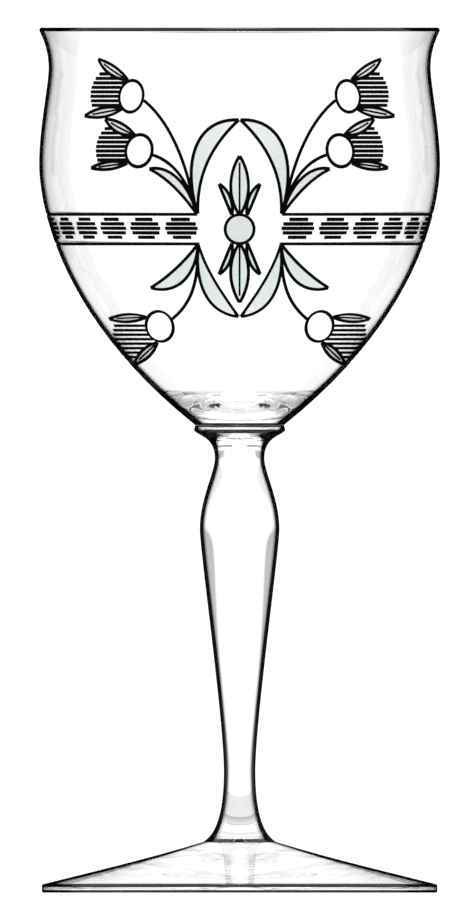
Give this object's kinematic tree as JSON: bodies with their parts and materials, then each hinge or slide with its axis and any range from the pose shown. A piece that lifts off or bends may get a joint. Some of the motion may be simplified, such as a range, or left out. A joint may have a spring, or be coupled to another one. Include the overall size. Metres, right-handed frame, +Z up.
{
  "type": "water goblet",
  "caption": "Stemmed water goblet in clear glass: flared bowl with a matte cut flower band, thin collar disc, baluster stem and a round sloping foot.",
  "frame": {"origin": "on the goblet's axis, at the table it stands on", "axes": "+Z up along the axis from the foot to the rim; the cut ornament's two rosettes face -Y and +Y"},
  "size_m": [0.0826, 0.0826, 0.178],
  "materials": {
    "clear_glass": "fire polished and clear, with matte cuts on the bowl"
  },
  "bodies": {
    "root": {"foot": "clear_glass", "stem": "clear_glass", "collar": "clear_glass", "bowl": "clear_glass"}
  },
  "joints": []
}
